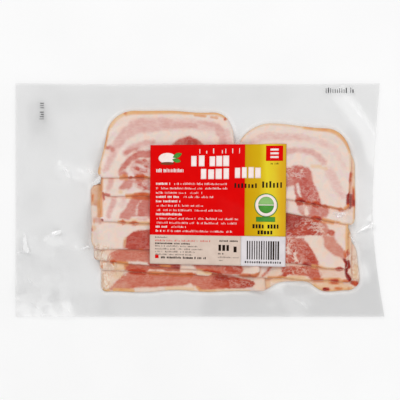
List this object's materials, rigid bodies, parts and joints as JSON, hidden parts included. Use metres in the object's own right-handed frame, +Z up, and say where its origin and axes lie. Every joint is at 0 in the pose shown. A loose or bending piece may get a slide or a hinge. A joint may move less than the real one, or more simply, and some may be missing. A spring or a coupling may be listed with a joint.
{
  "type": "bacon pack",
  "caption": "Clear flat vacuum pouch of sliced smoked bacon with a plain colour label, lying label up on its flat underside.",
  "frame": {"origin": "centre of the pouch's bounding box, on the plane it lies on", "axes": "+X along the pouch's long side, to the right as the label is read, +Y towards the label's top edge, +Z up out of the label"},
  "size_m": [0.28, 0.177, 0.0146],
  "materials": {
    "bacon_under_film": "pink and cream bacon under clear glossy film",
    "label_print": "gloss film label with plain red, yellow and cream fields"
  },
  "bodies": {
    "root": {"pouch": "bacon_under_film", "label": "label_print"}
  },
  "joints": []
}
